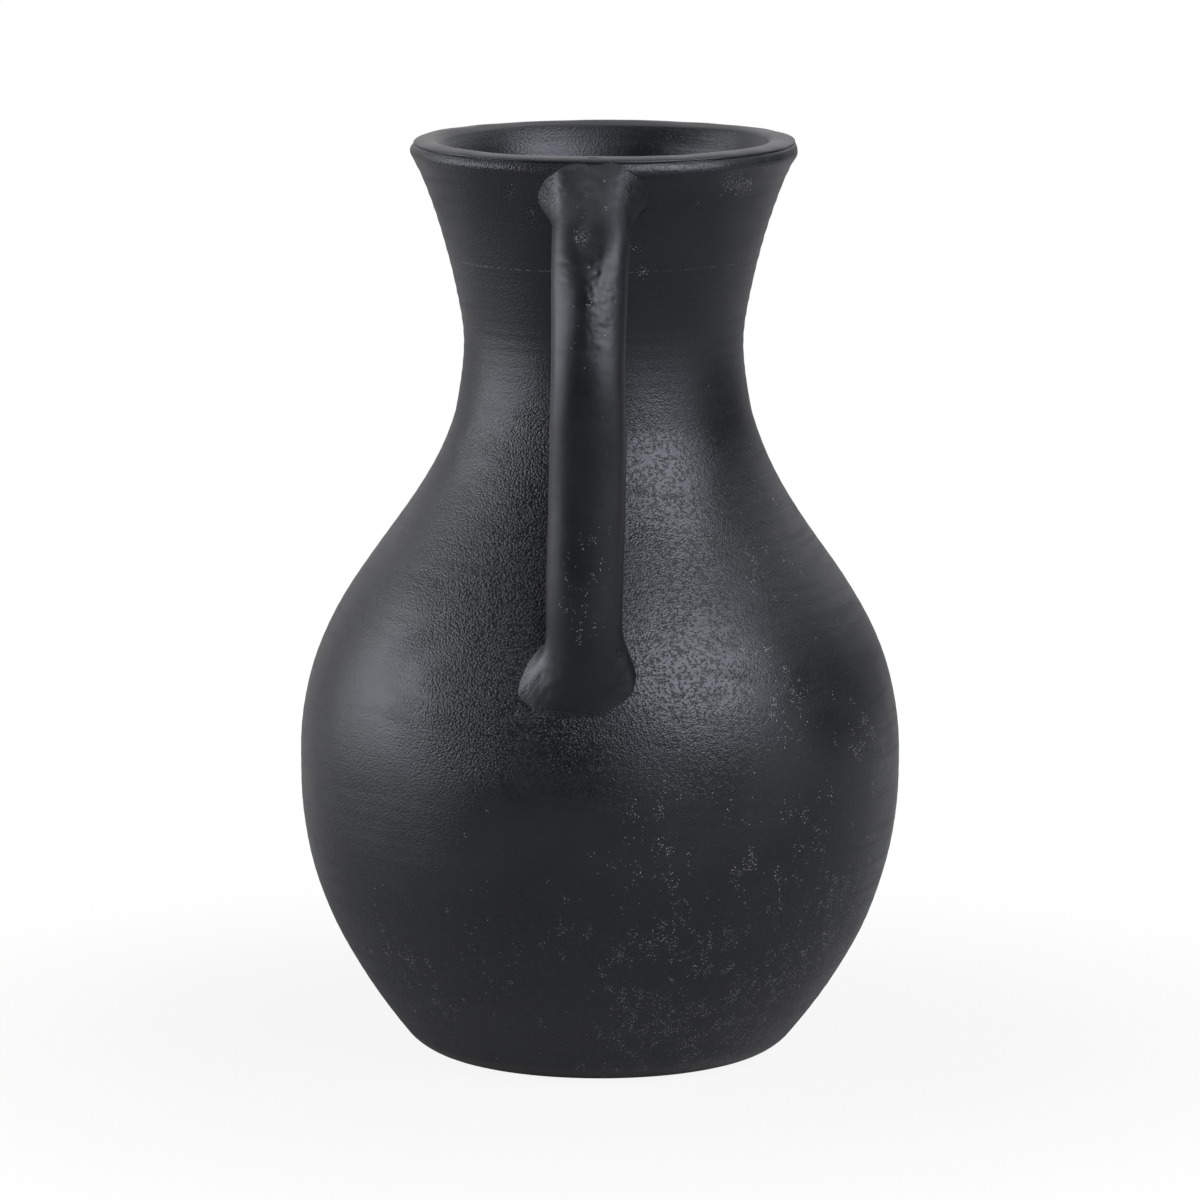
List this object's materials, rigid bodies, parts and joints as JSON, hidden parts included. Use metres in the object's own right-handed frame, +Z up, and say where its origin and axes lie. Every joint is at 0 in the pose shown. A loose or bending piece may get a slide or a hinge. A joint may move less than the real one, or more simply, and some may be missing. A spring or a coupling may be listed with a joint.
{
  "type": "vase",
  "caption": "Black clay jug-shaped vase: flat foot, full belly, narrow waist, flared neck with a rolled lip, and one pulled side handle.",
  "frame": {"origin": "centre of the flat underside of the foot", "axes": "+Z up along the thrown body's axis, -Y towards the handle, +X to the right when the handle faces the viewer"},
  "size_m": [0.196, 0.1974, 0.3],
  "materials": {
    "thrown_wall": "black burnished earthenware, satin with a leathery grain",
    "pulled_handle": "black earthenware, wiped smooth by hand"
  },
  "bodies": {
    "root": {"foot_slab": "thrown_wall", "lower_bowl": "thrown_wall", "shoulder_dome": "thrown_wall", "neck_collar": "thrown_wall", "rim_coil": "thrown_wall", "handle": "pulled_handle", "upper_lute": "pulled_handle", "lower_lute": "pulled_handle"}
  },
  "joints": []
}
